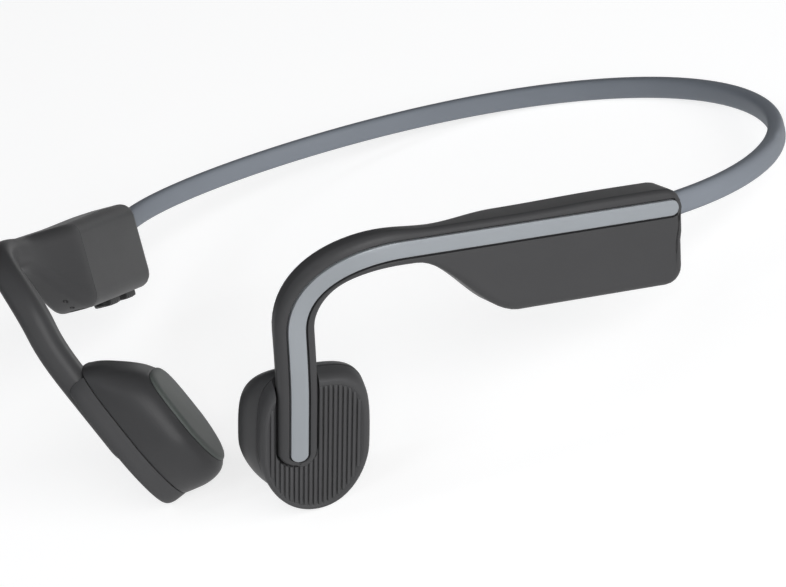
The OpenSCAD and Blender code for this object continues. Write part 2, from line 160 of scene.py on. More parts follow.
# ---------- the hook's line ----------
BEND_START = POD_ORIGIN + ahead(POD_TOE) * STRAIGHT_LEN
BEND_DIR = unit(np.array([-0.25, 0.19, -0.95]))
BEND_CURVE = [BEND_START, BEND_START + ahead(POD_TOE) * 10, BEND_END - BEND_DIR * 8, BEND_END]
DOWN_DIR = downward(TIP_TOE, TIP_LEAN)
SWAY_END = TIP_ORIGIN - DOWN_DIR * DOWN_LEN
SWAY_CURVE = [BEND_END, BEND_END + BEND_DIR * SWAY_LEN / 3,
              SWAY_END - DOWN_DIR * SWAY_LEN / 3, SWAY_END]


def hook_point(s):
    if s < STRAIGHT_LEN:
        return POD_ORIGIN + ahead(POD_TOE) * s
    if s < SWAY_START:
        return bezier(BEND_CURVE, (s - STRAIGHT_LEN) / BEND_LEN)
    if s < DOWN_START:
        return bezier(SWAY_CURVE, (s - SWAY_START) / SWAY_LEN)
    return SWAY_END + DOWN_DIR * (s - DOWN_START)


def hook_place(s, v, n):
    """Point at s along the hook, v across it towards its outer side, n out of its face."""
    tangent = unit(hook_point(s + 0.2) - hook_point(s - 0.2))
    turn = smooth(STRAIGHT_LEN - 8, DOWN_START, s)
    normal = outward(mix(POD_TOE, TIP_TOE, turn), mix(POD_LEAN, TIP_LEAN, turn))
    normal = unit(normal - normal.dot(tangent) * tangent)
    return hook_point(s) + normal * n + np.cross(tangent, normal) * v


def edge_above(s):
    return mix(mix(POD_ABOVE, NECK_ABOVE, smooth(8, 30, s)), ARM_ABOVE, smooth(42, 54, s))


def edge_below(s):
    return mix(mix(POD_BELOW, BEND_BELOW, smooth(28, 46, s)), ARM_BELOW, smooth(58, 68, s))


def hook_thick(s):
    return mix(POD_THICK, ARM_THICK, smooth(29, 43, s))


# ---------- placing ----------
def turned(toe, lean):
    """Axes of a frame turned by toe about +Z after a lean about +Y."""
    lean_m = Matrix.Rotation(math.radians(lean), 3, "Y")
    toe_m = Matrix.Rotation(math.radians(-toe), 3, "Z")
    return np.array(toe_m @ lean_m)


POD_AXES = turned(POD_TOE, POD_LEAN)
TIP_AXES = turned(TIP_TOE, TIP_LEAN)
STANCE_AXES = np.array(Matrix.Rotation(math.radians(-STANCE_PITCH), 3, "X"))


def in_pod(points):
    return np.asarray(points, float) @ POD_AXES.T + POD_ORIGIN


def in_transducer(points):
    """Points given as (depth below the arm's face, y, z)."""
    local = np.asarray(points, float) * [-1, 1, 1]
    return local @ TIP_AXES.T + TIP_ORIGIN


def row_points(points, side=1):
    """Millimetres in the upright frame, left side, to metres in the row frame."""
    tipped = (np.asarray(points, float) * [side, 1, 1]) @ STANCE_AXES.T
    return (tipped + [0, STANCE_Y, STANCE_Z]) * MM


# ---------- meshes ----------
class Shape:
    """Points and faces of one piece, in millimetres on the left side."""

    def __init__(self):
        self.points, self.faces = [], []

    def add(self, points, faces):
        start = len(self.points)
        self.points.extend(tuple(p) for p in points)
        self.faces.extend(tuple(i + start for i in f) for f in faces)
        return self

    def skin(self, rings, caps="ngon"):
        """Closed surface through rings of equal length.

        A ladder cap joins a ring's first half to its second.
        """
        n, m = len(rings[0]), len(rings)
        faces = [(j * n + i, j * n + (i + 1) % n, (j + 1) * n + (i + 1) % n, (j + 1) * n + i)
                 for j in range(m - 1) for i in range(n)]
        for base, turn in ((0, -1), ((m - 1) * n, 1)):
            if caps == "ngon":
                faces.append(tuple(base + i for i in range(n))[::turn])
            else:
                faces += [(base + i, base + i + 1, base + n - 2 - i, base + n - 1 - i)[::turn]
                          for i in range(n // 2 - 1)]
        return self.add([p for ring in rings for p in ring], faces)

    def placed(self, place):
        self.points = [tuple(p) for p in place(self.points)]
        return self

    def object(self, name, side=1, scale=None):
        """A Blender object in the row frame, or in upright millimetres when scale is given."""
        mesh = bpy.data.meshes.new(name)
        points = np.array(self.points) if scale else row_points(self.points, side)
        mesh.from_pydata([tuple(p) for p in points], [], self.faces)
        edit = bmesh.new()
        edit.from_mesh(mesh)
        bmesh.ops.recalc_face_normals(edit, faces=edit.faces)
        edit.to_mesh(mesh)
        edit.free()
        made = bpy.data.objects.new(name, mesh)
        bpy.context.scene.collection.objects.link(made)
        return made


def carve(piece, cutter, operation="DIFFERENCE"):
    """Applies a boolean and removes the cutter."""
    cut = piece.modifiers.new("cut", "BOOLEAN")
    cut.object, cut.operation, cut.solver = cutter, operation, "MANIFOLD"
    bpy.context.view_layer.update()
    evaluated = piece.evaluated_get(bpy.context.evaluated_depsgraph_get())
    result = bpy.data.meshes.new_from_object(evaluated)
    piece.modifiers.clear()
    piece.data = result
    bpy.data.objects.remove(cutter)
    return piece


def to_row(piece, side):
    """Moves a piece made in upright millimetres into the row frame."""
    mesh = piece.data
    points = row_points([v.co for v in mesh.vertices], side)
    mesh.vertices.foreach_set("co", points.ravel())
    if side < 0:
        mesh.flip_normals()
    mesh.update()
    return piece


def finish_piece(piece, body, slot, replaced=(), sharp=35):
    """Shading, material, body and the CAD nodes that the piece stands for."""
    mesh = piece.data
    mesh.polygons.foreach_set("use_smooth", [True] * len(mesh.polygons))
    mesh.set_sharp_from_angle(angle=math.radians(sharp))
    mesh.materials.clear()
    mesh.materials.append(material(slot))
    for polygon in mesh.polygons:
        polygon.material_index = 0
    if replaced:
        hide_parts(*replaced)
    if body:
        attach(piece, body)
    return piece


def weighted_normals(piece):
    normals = piece.modifiers.new("even shading", "WEIGHTED_NORMAL")
    normals.keep_sharp = True
    normals.weight = 80
    return piece


def box_shape(low, high):
    """Closed box between two corners."""
    (x0, y0, z0), (x1, y1, z1) = low, high
    rings = [[(x0, y0, z), (x1, y0, z), (x1, y1, z), (x0, y1, z)] for z in (z0, z1)]
    return Shape().skin(rings)


# ---------- materials ----------
def linear(grey):
    """Linear value of an sRGB grey from 0 to 255."""
    c = grey / 255
    return c / 12.92 if c <= 0.04045 else ((c + 0.055) / 1.055) ** 2.4


def finish(colour, rough, grain, bump, mottle, edge_highlight, metallic=0.0, shine=0.15):
    """sRGB colour, roughness, grain size and height in mm, mottle, strength of the painted
    highlight along the edges, sheen.
    """
    return dict(colour=colour, rough=rough, grain=grain, bump=bump, mottle=mottle, edge_highlight=edge_highlight,
                metallic=metallic, shine=shine)


# The sixth value of each finish is the strength of the painted highlight along its edges.
FINISHES = {
    "band_rubber": finish((110, 115, 122), 0.58, 0.16, 0.006, 0.05, 0.1),
    "hook_plastic": finish((56, 56, 57), 0.44, 0.22, 0.004, 0.06, 0.16),
    "accent_plastic": finish((128, 132, 136), 0.34, 0.1, 0.002, 0.03, 0.12, metallic=0.1,
                             shine=0.25),
    "ribbed_rubber": finish((60, 60, 61), 0.56, 0.14, 0.005, 0.06, 0.14),
    "contact_silicone": finish((76, 80, 78), 0.5, 0.2, 0.004, 0.05, 0.05),
    "button_plastic": finish((26, 26, 27), 0.42, 0.15, 0.003, 0.05, 0.2),
    "flap_rubber": finish((48, 48, 49), 0.55, 0.15, 0.005, 0.05, 0.12),
    "spring_wire": finish((190, 190, 194), 0.28, 0.08, 0.002, 0.05, 0.1, metallic=1.0),
    "cable_jacket": finish((45, 45, 46), 0.45, 0.12, 0.003, 0.05, 0.08),
    "magnetic_steel": finish((176, 178, 182), 0.3, 0.12, 0.002, 0.06, 0.15, metallic=1.0),
    "coil_copper": finish((198, 128, 78), 0.34, 0.07, 0.008, 0.1, 0.1, metallic=1.0),
    "circuit_board": finish((30, 84, 56), 0.38, 0.3, 0.003, 0.14, 0.25),
    "battery_film": finish((168, 172, 178), 0.26, 0.5, 0.01, 0.05, 0.1, metallic=0.7),
    "foam": finish((58, 58, 60), 0.92, 0.25, 0.06, 0.14, 0.05),
    "plated_metal": finish((196, 196, 198), 0.24, 0.1, 0.001, 0.04, 0.1, metallic=1.0),
    "clear_plastic": finish((214, 218, 220), 0.16, 0.2, 0.001, 0.02, 0.05),
}


def socket_math(tree, operation, *values):
    node = tree.nodes.new("ShaderNodeMath")
    node.operation = operation
    for socket, value in zip(node.inputs, values):
        if isinstance(value, (int, float)):
            socket.default_value = value
        else:
            tree.links.new(value, socket)
    return node.outputs[0]


def noise(tree, coordinates, size_mm, detail=3.0):
    node = tree.nodes.new("ShaderNodeTexNoise")
    node.inputs["Scale"].default_value = 1 / (size_mm * MM)
    node.inputs["Detail"].default_value = detail
    tree.links.new(coordinates, node.inputs["Vector"])
    return node.outputs["Fac"]


def material(slot):
    """Procedural finish: grain in the bump, mottled colour and roughness, and a painted highlight
    that makes the edges lighter.
    """
    name = slot + "_finish"
    if name in bpy.data.materials:
        return bpy.data.materials[name]
    look = FINISHES[slot]
    made = bpy.data.materials.new(name)
    made.use_nodes = True
    tree = made.node_tree
    shader = tree.nodes["Principled BSDF"]
    shader.inputs["Metallic"].default_value = look["metallic"]
    shader.inputs["Specular IOR Level"].default_value = look["shine"]
    coordinates = tree.nodes.new("ShaderNodeTexCoord").outputs["Object"]
    cloud = noise(tree, coordinates, 9.0, 4.0)
    grain = noise(tree, coordinates, look["grain"], 2.0)

    # painted highlight on the edges: high pointiness broken up by the cloud
    pointiness = tree.nodes.new("ShaderNodeNewGeometry").outputs["Pointiness"]
    edge = socket_math(tree, "MULTIPLY_ADD", pointiness, 8.0, -4.3)
    highlight_mask = socket_math(tree, "MULTIPLY", clamp(tree, edge), cloud)

    colour = tree.nodes.new("ShaderNodeMix")
    colour.data_type = "RGBA"
    base = [linear(c) for c in look["colour"]]
    colour.inputs["A"].default_value = [c * (1 - look["mottle"]) for c in base] + [1]
    colour.inputs["B"].default_value = [c * (1 + look["mottle"]) for c in base] + [1]
    tree.links.new(cloud, colour.inputs["Factor"])
    # painted highlight: a lighter copy of the colour is mixed in along the edges
    lighter = tree.nodes.new("ShaderNodeMix")
    lighter.data_type = "RGBA"
    lighter.inputs["B"].default_value = [min(1.0, c * (1 + look["edge_highlight"] * 3)) for c in base] + [1]
    tree.links.new(highlight_mask, lighter.inputs["Factor"])
    tree.links.new(colour.outputs["Result"], lighter.inputs["A"])
    tree.links.new(lighter.outputs["Result"], shader.inputs["Base Color"])

    rough = socket_math(tree, "MULTIPLY_ADD", cloud, 0.12, look["rough"] - 0.06)
    rough = socket_math(tree, "MULTIPLY_ADD", grain, 0.10, socket_math(tree, "ADD", rough, -0.05))
    rough = socket_math(tree, "MULTIPLY_ADD", highlight_mask, -0.10, rough)
    tree.links.new(rough, shader.inputs["Roughness"])

    bump = tree.nodes.new("ShaderNodeBump")
    bump.inputs["Strength"].default_value = 0.6
    bump.inputs["Distance"].default_value = look["bump"] * MM
    tree.links.new(grain, bump.inputs["Height"])
    tree.links.new(bump.outputs["Normal"], shader.inputs["Normal"])
    return made


def clamp(tree, value):
    node = tree.nodes.new("ShaderNodeClamp")
    tree.links.new(value, node.inputs["Value"])
    return node.outputs[0]


def floor_material():
    """A pale floor with a faint glow of its own, which keeps the shadows light."""
    made = bpy.data.materials.new("pale_floor")
    made.use_nodes = True
    tree = made.node_tree
    shader = tree.nodes["Principled BSDF"]
    shader.inputs["Base Color"].default_value = (0.38, 0.38, 0.38, 1)
    shader.inputs["Emission Color"].default_value = (1, 1, 1, 1)
    shader.inputs["Emission Strength"].default_value = FLOOR_GLOW
    coordinates = tree.nodes.new("ShaderNodeTexCoord").outputs["Object"]
    rough = socket_math(tree, "MULTIPLY_ADD", noise(tree, coordinates, 40.0), 0.1, 0.75)
    tree.links.new(rough, shader.inputs["Roughness"])
    return made


# ---------- outlines on the hook ----------
HALF_ARC = 8
RUN = sorted(set(spaced(POD_CORNER - POD_REAR, 26, 3.1) + spaced(26, SWAY_START, 1.1)
                 + spaced(SWAY_START, HOOK_LEN - TIP_RADIUS, 1.3)))


def strip_half_width(s):
    """The strip widens a little on its way round the bend."""
    return mix(STRIP_WIDTH, STRIP_WIDTH + STRIP_FLARE, smooth(44, 66, s)) / 2


def capsule_point(i, sign, gap):
    """(s, v) on a long slot round the strip, wider than the strip by gap."""
    rear = STRIP_REAR + STRIP_WIDTH / 2
    front = HOOK_LEN - TIP_EXTRA - (STRIP_WIDTH + STRIP_FLARE) / 2
    if i < HALF_ARC:
        angle = 90 * (i + 0.5) / HALF_ARC
        radius = strip_half_width(rear) + gap
        return rear - radius * cosine(angle), sign * radius * sine(angle)
    i -= HALF_ARC
    if i < len(RUN):
        s = mix(rear, front, (RUN[i] - RUN[0]) / (RUN[-1] - RUN[0]))
        return s, sign * (strip_half_width(s) + gap)
    angle = 90 * (i - len(RUN) + 0.5) / HALF_ARC
    radius = strip_half_width(front) + gap
    return front + radius * sine(angle), sign * radius * cosine(angle)


def rim_point(i, sign, inset):
    """(s, v) on the moulding's outline, drawn in by inset."""
    edge = edge_above if sign > 0 else edge_below
    if i < HALF_ARC:
        corner_s = POD_CORNER - POD_REAR
        radius = max(0.05, POD_CORNER - inset)
        middle = (edge_above(0) - edge_below(0)) / 2
        straight = HALF_ARC // 2 - 1
        if i < straight:
            share = (i + 0.5) / (straight + 0.5)
            return inset - POD_REAR, mix(middle, sign * (edge(0) - POD_CORNER), share)
        angle = 90 * (i - straight) / (HALF_ARC - straight)
        return (corner_s - radius * cosine(angle),
                sign * (edge(0) - POD_CORNER + radius * sine(angle)))
    i -= HALF_ARC
    if i < len(RUN):
        s = RUN[i]
        slope = (edge(s + 0.1) - edge(s - 0.1)) / 0.2
        steep = math.hypot(1, slope)
        return s + inset * slope / steep, sign * (edge(s) - inset / steep)
    angle = 90 * (i - len(RUN) + 0.5) / HALF_ARC
    s = HOOK_LEN - TIP_RADIUS
    return (s + (TIP_RADIUS - inset) * sine(angle),
            sign * (edge(s) - inset) * cosine(angle))


def hook_ring(point, depth):
    """Closed ring: the upper half from rear to tip, then the lower half back again."""
    half = range(2 * HALF_ARC + len(RUN))
    flat = [point(i, 1) for i in half] + [point(i, -1) for i in reversed(half)]
    return [hook_place(s, v, -depth(s) if callable(depth) else -depth) for s, v in flat]


def face_fillet(s, sign):
    """Radius where the outer face rolls over into the moulding's side."""
    if sign > 0:
        return mix(1.0, 1.55, smooth(42, 56, s))
    return mix(1.5, 0.8, smooth(34, 46, s))


def back_fillet(s):
    return mix(2.3, 2.0, smooth(29, 43, s))


def rolled_point(share_in, radius):
    """Outline drawn in by a share of a radius that varies along the hook."""
    def point(i, sign):
        s = rim_point(i, sign, 0)[0]
        return rim_point(i, sign, share_in * radius(s, sign))
    return point


def moulding_shape():
    """The hook moulding: groove for the strip, outer face, rounded side and rounded back."""
    groove_depth, lip = 0.75, 0.14
    rings = [hook_ring(lambda i, sign: capsule_point(i, sign, STRIP_GAP), groove_depth),
             hook_ring(lambda i, sign: capsule_point(i, sign, STRIP_GAP), lip),
             hook_ring(lambda i, sign: capsule_point(i, sign, STRIP_GAP + lip * 0.3), lip * 0.3),
             hook_ring(lambda i, sign: capsule_point(i, sign, STRIP_GAP + lip), 0)]
    edge = rolled_point(1, face_fillet)
    for share in (0.3, 0.6, 0.9, 1):
        def between(i, sign, share=share):
            inner = capsule_point(i, sign, STRIP_GAP + lip)
            outer = edge(i, sign)
            return mix(inner[0], outer[0], share), mix(inner[1], outer[1], share)
        rings.append(hook_ring(between, 0))
    steps = 6
    for k in range(1, steps + 1):
        angle = 90 * k / steps
        point = rolled_point(1 - sine(angle), face_fillet)
        drop = 1 - cosine(angle)
        rings.append(rolled_ring(point, lambda s, sign, drop=drop: drop * face_fillet(s, sign)))
    back = rolled_point(0, face_fillet)
    for share in (0.5, 1):
        rings.append(rolled_ring(back, lambda s, sign, share=share: mix(
            face_fillet(s, sign), hook_thick(s) - back_fillet(s), share)))
    for k in range(1, steps + 1):
        angle = 90 * k / steps
        point = rolled_point(1 - cosine(angle), lambda s, sign: back_fillet(s))
        rings.append(rolled_ring(point, lambda s, sign, angle=angle: hook_thick(s)
                                 - back_fillet(s) * (1 - sine(angle))))
    inner = rolled_point(1, lambda s, sign: back_fillet(s) + 0.35)
    rings.append(rolled_ring(inner, lambda s, sign: hook_thick(s)))
    return Shape().skin(rings, caps="ladder")


def rolled_ring(point, depth):
    """As hook_ring, with a depth that also depends on which edge the point belongs to."""
    half = range(2 * HALF_ARC + len(RUN))
    ring = []
    for sign, order in ((1, half), (-1, reversed(half))):
        for i in order:
            s, v = point(i, sign)
            ring.append(hook_place(s, v, -depth(rim_point(i, sign, 0)[0], sign)))
    return ring


def strip_shape():
    """The accent strip: a long rounded bar with softly bevelled edges."""
    bevel, height, seat = 0.16, 0.03, 0.7
    crown_inset, crown_rise = 0.8, 0.02
    levels = [(0, seat), (0, bevel - height), (-bevel * 0.3, bevel * 0.3 - height),
              (-bevel, -height), (-crown_inset, -height - crown_rise)]
    return Shape().skin([hook_ring(lambda i, sign, gap=gap: capsule_point(i, sign, gap), depth)
                         for gap, depth in levels], caps="ladder")


# ---------- neckband ----------
def band_slope(y):
    return BAND_RISE + 2 * BAND_CURL * y


def band_point(u):
    if u < 0:
        start = band_point(0)
        return start + unit(band_point(0.01) - start) * u
    x, y = bezier(BAND_ROUTE, u)
    return np.array([x, y, BAND_Z0 + BAND_RISE * y + BAND_CURL * y * y])


def band_place(u, v, n):
    if u > 0.999:
        tangent = np.array([-1.0, 0, 0])
    elif u < 0:
        tangent = unit(band_point(0.01) - band_point(0))
    else:
        tangent = unit(band_point(u + 0.0005) - band_point(max(0, u - 0.0005)))
    y = bezier(BAND_ROUTE, max(0, u))[1]
    side = unit(np.cross([0, -band_slope(y), 1], tangent))
    return band_point(u) + np.cross(tangent, side) * v + side * n


def band_ring(u, height, thick, count=28, exponent=3.2):
    return [band_place(u, height / 2 * power(cosine(a), exponent),
                       thick / 2 * power(sine(a), exponent))
            for a in (360 * (i + 0.5) / count for i in range(count))]


def band_shape(whole=True):
    """The neckband, from inside one pod to inside the other."""
    stations = [-BAND_INSERT, -BAND_INSERT / 2] + spaced(0, 1, 1 / 56)
    half = [band_ring(u, BAND_HEIGHT, BAND_THICK) for u in stations]
    if not whole:
        ease, end = 0.1, 16
        return Shape().skin([band_ring(u, BAND_HEIGHT + ease, BAND_THICK + ease)
                             for u in stations[:end]])
    mirrored = [[(-x, y, z) for x, y, z in ring] for ring in half[-2::-1]]
    return Shape().skin(half + mirrored)


# ---------- transducers ----------
def cover_outline(depth, cy, cz, half_w, half_h, count=96):
    """Squarer at the top, rounder towards the bottom."""
    ring = []
    for k in range(count):
        angle = 360 * k / count
        exponent = 2.85 + 0.75 * math.tanh(4 * sine(angle))
        ring.append((depth, cy + half_w * power(cosine(angle), exponent),
                     cz + half_h * power(sine(angle), exponent)))
    return ring


FIELD_SHIFT, FIELD_SIDE, FIELD_LOW, FIELD_HIGH = -0.15, 1.05, 1.0, 1.25
RIB_DEPTH = 0.42


def rib_field(inset):
    """Outline of the ribbed field on the cover's face: centre and half sizes."""
    half_h = COVER_HALF_H - (FIELD_LOW + FIELD_HIGH) / 2 - inset
    return (BODY_Y + FIELD_SHIFT, BODY_Z - (FIELD_HIGH - FIELD_LOW) / 2,
            COVER_HALF_W - FIELD_SIDE - inset, half_h)


def cover_shell(skirt):
    """The cover's face with its recessed field, its rounded rim and its skirt."""
    roll_in, roll_down, wall = 0.85, 1.9, 1.1
    rings = []
    for inset, share in ((1.1, 1), (0.55, 0.8), (0.15, 0.2), (0, 0)):
        cy, cz, half_w, half_h = rib_field(inset)
        rings.append(cover_outline(COVER_TOP + RIB_DEPTH * share, cy, cz, half_w, half_h))
    steps = 7
    for k in range(steps + 1):
        angle = 90 * k / steps
        inset = roll_in * (1 - sine(angle))
        rings.append(cover_outline(COVER_TOP + roll_down * (1 - cosine(angle)), BODY_Y, BODY_Z,
                                   COVER_HALF_W - inset, COVER_HALF_H - inset))
    rings.append(cover_outline(skirt - 0.12, BODY_Y, BODY_Z, COVER_HALF_W, COVER_HALF_H))
    rings.append(cover_outline(skirt, BODY_Y, BODY_Z, COVER_HALF_W - 0.1, COVER_HALF_H - 0.1))
    for depth in (skirt, COVER_TOP + 1.5):
        rings.append(cover_outline(depth, BODY_Y, BODY_Z, COVER_HALF_W - wall, COVER_HALF_H - wall))
    return Shape().skin(rings)


def field_limits(y):
    """Lowest and highest z of the ribbed field at y."""
    cy, cz, half_w, half_h = rib_field(0.2)
    across = min(1.0, abs(y - cy) / half_w)
    return (cz - half_h * (1 - across ** 2.1) ** (1 / 2.1),
            cz + half_h * (1 - across ** 3.6) ** (1 / 3.6))


def rib_bars():
    """Broad ribs with narrow grooves between them, sunk at their ends."""
    shape = Shape()
    half = RIB_PITCH * 0.34
    top, base = COVER_TOP - 0.02, COVER_TOP + RIB_DEPTH + 0.3
    section = [(base, -half), (top + 0.16, -half), (top + 0.04, -half * 0.8), (top, -half * 0.4),
               (top, half * 0.4), (top + 0.04, half * 0.8), (top + 0.16, half), (base, half)]
    cy, _, half_w, _ = rib_field(0.45)
    count = int(half_w / RIB_PITCH)
    for y in (cy + k * RIB_PITCH for k in range(-count, count + 1)):
        low, high = field_limits(y)
        rings = []
        for z, sink in ((low, 0.3), (low + 0.45, 0.06), (low + 0.9, 0), (high - 0.9, 0),
                        (high - 0.45, 0.06), (high, 0.3)):
            rings.append([(x if x == base else x + sink, y + dy, z) for x, dy in section])
        shape.skin(rings)
    return shape


def arm_notch():
    """Space for the arm in the cover: a slot with a round lower end."""
    reach = TIP_RADIUS + ARM_CLEAR
    middle, centre_z, top = (ARM_BELOW - ARM_ABOVE) / 2, TIP_RADIUS - TIP_EXTRA, 24
    outline = [(middle - reach, top)]
    outline += [(middle + reach * cosine(a), centre_z + reach * sine(a))
                for a in spaced(180, 360, 10)]
    outline += [(middle + reach, top)]
    return Shape().skin([[(depth, y, z) for y, z in outline] for depth in (-5, 8)])


# Depth, then what is added to the cover's centre (y, z) and to its half width and half height
HOUSING_LAYERS = [
    (HOUSING_TOP, 0, 0, 0, 0), (6.8, -0.5, -0.8, 0.6, -0.3), (8.8, -0.8, -1.8, 0.9, -0.9),
    (10.8, -1.0, -2.7, 0.8, -1.8), (12.4, -1.1, -3.3, 0.2, -2.9), (PAD_TOP, -1.2, -3.6, -0.8, -4.2)]


def housing_layer(depth):
    """The housing's outline at a depth, on a smooth curve through its layers."""
    table = np.array(HOUSING_LAYERS)
    row = min(len(table) - 2, max(0, int(np.searchsorted(table[:, 0], depth, side="right") - 1)))
    before, after = table[max(0, row - 1)], table[min(len(table) - 1, row + 2)]
    a, b = table[row], table[row + 1]
    t = (depth - a[0]) / (b[0] - a[0])
    m0 = (b - before) / max(1e-6, b[0] - before[0]) * (b[0] - a[0])
    m1 = (after - a) / max(1e-6, after[0] - a[0]) * (b[0] - a[0])
    value = ((2 * t ** 3 - 3 * t ** 2 + 1) * a + (t ** 3 - 2 * t ** 2 + t) * m0
             + (3 * t ** 2 - 2 * t ** 3) * b + (t ** 3 - t ** 2) * m1)
    return value[1], value[2], value[3], value[4]


def housing_ring(depth, inset=0.0):
    dy, dz, dw, dh = housing_layer(depth)
    return cover_outline(depth, BODY_Y + dy, BODY_Z + dz, COVER_HALF_W + dw - inset,
                         COVER_HALF_H + dh - inset)


def housing_shape():
    """The inner body: a shallow plinth inside the cover's skirt, then the full, rounded flank."""
    plinth_rise, plinth_inset, bevel = 0.75, 1.5, 0.12
    rings = [cover_outline(depth, BODY_Y, BODY_Z, COVER_HALF_W - plinth_inset,
                           COVER_HALF_H - plinth_inset)
             for depth in (HOUSING_TOP - plinth_rise, HOUSING_TOP)]
    rings += [housing_ring(HOUSING_TOP, bevel), housing_ring(HOUSING_TOP + bevel)]
    rings += [housing_ring(depth) for depth in spaced(HOUSING_TOP + 0.5, PAD_TOP - 0.2, 0.5)]
    rings += [housing_ring(PAD_TOP - 0.06, 0.05), housing_ring(PAD_TOP, 0.25)]
    return Shape().skin(rings)


def pad_shape():
    """The contact pad: a softly crowned lens of silicone."""
    dy, dz, dw, dh = housing_layer(PAD_TOP)
    cy, cz = BODY_Y + dy, BODY_Z + dz
    half_w, half_h = COVER_HALF_W + dw, COVER_HALF_H + dh
    rings = [cover_outline(PAD_TOP, cy, cz, half_w - 0.15, half_h - 0.15)]
    steps = 6
    for k in range(steps + 1):
        angle = 90 * k / steps
        rings.append(cover_outline(mix(PAD_TOP + 0.05, CONTACT_TOP - 0.12, sine(angle)), cy, cz,
                                   half_w - 0.05 - 1.3 * (1 - cosine(angle)),
                                   half_h - 0.05 - 1.5 * (1 - cosine(angle))))
    for share, drop in ((0.75, 0.06), (0.5, 0.02), (0.25, 0)):
        rings.append(cover_outline(CONTACT_TOP - drop, cy, cz,
                                   (half_w - 1.35) * share, (half_h - 1.55) * share))
    return Shape().skin(rings)


# ---------- controls on the right pod ----------
def stadium_ring(length, width, height, count=9, run=21):
    """Ring of a slot along Y, upper half then lower half, at heights that may vary along it."""
    radius = width / 2
    half = [(-(length / 2 - radius) - radius * cosine(a), radius * sine(a))
            for a in (90 * (k + 0.5) / count for k in range(count))]
    half += [(mix(-1, 1, k / (run - 1)) * (length / 2 - radius), radius) for k in range(run)]
    half += [(-y, x) for y, x in reversed(half[:count])]
    flat = [(x, y) for y, x in half] + [(-x, y) for y, x in reversed(half)]
    return [(x, y, height(y) if callable(height) else height) for x, y in flat]


def volume_shape(y):
    """A volume button: scalloped crown, straight sides and a retaining flange."""
    crown = -POD_BELOW - VOLUME_PROUD
    seat = POD_FLOOR + 0.05

    def scallop(extra):
        return lambda along: crown + extra + 0.16 * (1 - math.cos(2 * math.pi * along / 1.3)) / 2 \
            + 0.25 * (abs(along) / (VOLUME_LEN / 2)) ** 3
    levels = [(0.6, 0.8, seat + 0.4), (0.6, 0.8, seat), (0, 0, seat), (0, 0, crown + 0.7)]
    rings = [stadium_ring(VOLUME_LEN + dl, VOLUME_WIDE + dw, z) for dl, dw, z in levels]
    for inset, extra in ((0.0, 0.34), (0.1, 0.12), (0.34, 0.0), (0.9, -0.02)):
        rings.append(stadium_ring(VOLUME_LEN - 2 * inset, VOLUME_WIDE - 2 * inset, scallop(extra)))
    shape = Shape().skin(rings, caps="ladder")
    shape.points = [(x + PORT_X, along + y, z) for x, along, z in shape.points]
    return shape.placed(in_pod)


def plate_ring(length, width, z, exponent=5.0, count=48):
    return [(PORT_X + width / 2 * power(cosine(a), exponent),
             PORT_Y + length / 2 * power(sine(a), exponent), z)
            for a in (360 * (k + 0.5) / count for k in range(count))]


def flap_shape():
    """The charging port's cover: a rounded plate with a plug on its inner side."""
    face = -POD_BELOW + 0.05
    plate = [(0.35, 0.0), (0.12, 0.03), (0.0, 0.14), (0.0, 0.8)]
    plug = [(1.25, 0.8), (1.3, 1.6), (1.45, 1.7)]
    return Shape().skin([plate_ring(FLAP_LEN - 2 * inset, FLAP_WIDE - 2 * inset, face + rise)
                         for inset, rise in plate + plug]).placed(in_pod)


def slot_cutter(length, width, y, z0, z1):
    shape = Shape().skin([stadium_ring(length, width, z) for z in (z0, z1)], caps="ladder")
    shape.points = [(x + PORT_X, along + y, z) for x, along, z in shape.points]
    return shape.placed(in_pod)


def hole_cutter(diameter, y, z0, z1):
    radius = diameter / 2
    rings = [[(PORT_X + radius * cosine(a), y + radius * sine(a), z) for a in range(0, 360, 15)]
             for z in (z0, z1)]
    return Shape().skin(rings).placed(in_pod)


def right_cutters():
    """Openings in the underside of the right pod."""
    outside = -POD_BELOW - 1
    socket_x, socket_y = 1.75, 4.65
    cutters = [box_shape((PORT_X - socket_x, PORT_Y - socket_y, outside),
                         (PORT_X + socket_x, PORT_Y + socket_y, POD_FLOOR + 1)).placed(in_pod),
               Shape().skin([plate_ring(FLAP_LEN + 0.3, FLAP_WIDE + 0.3, z)
                             for z in (outside, -POD_BELOW + 1.1)]).placed(in_pod),
               hole_cutter(0.9, LIGHT_Y, outside, outside + 5.4),
               hole_cutter(1.0, MIC_Y, outside, outside + 6)]
    cutters += [slot_cutter(VOLUME_LEN + 0.4, VOLUME_WIDE + 0.4, y, outside, outside + 4)
                for y in VOLUME_Y.values()]
    return cutters


# ---------- the pieces ----------
SIDES = {"left": 1, "right": -1}


def make_hooks():
    """Arm frame and inner pod cover of each side, parted along a fine seam."""
    seam, parting, far = 0.12, POD_FRONT - 1.8, 20
    moulding = moulding_shape()
    cavity = [(SPLIT_X - 0.6, POD_FRONT, POD_FLOOR), (-POD_WALL, POD_BACK, POD_ROOF)]
    for name, side in SIDES.items():
        for part in ("arm_frame", "pod_inner_cover"):
            piece = moulding.object(f"{part}_{name}_shell", scale=1)
            if part == "arm_frame":
                zone = box_shape((-far, parting - seam, -far), (SPLIT_X + seam, 10, far))
                carve(piece, zone.placed(in_pod).object("zone", scale=1))
            else:
                zone = box_shape((-far, parting, -far), (SPLIT_X, 10, far))
                carve(piece, zone.placed(in_pod).object("zone", scale=1), "INTERSECT")
            carve(piece, box_shape(*cavity).placed(in_pod).object("cavity", scale=1))
            carve(piece, band_shape(whole=False).object("band_end", scale=1))
            if name == "right":
                for cutter in right_cutters():
                    carve(piece, cutter.object("opening", scale=1))
            to_row(piece, side)
            finish_piece(piece, f"{name}_side", "hook_plastic", [f"{part}_{name}"], sharp=30)
            weighted_normals(piece)


def make_strips():
    shape = strip_shape()
    for name, side in SIDES.items():
        bar = shape.object(f"accent_strip_{name}_bar", side)
        finish_piece(bar, f"{name}_side", "accent_plastic", [f"accent_strip_{name}"], sharp=40)


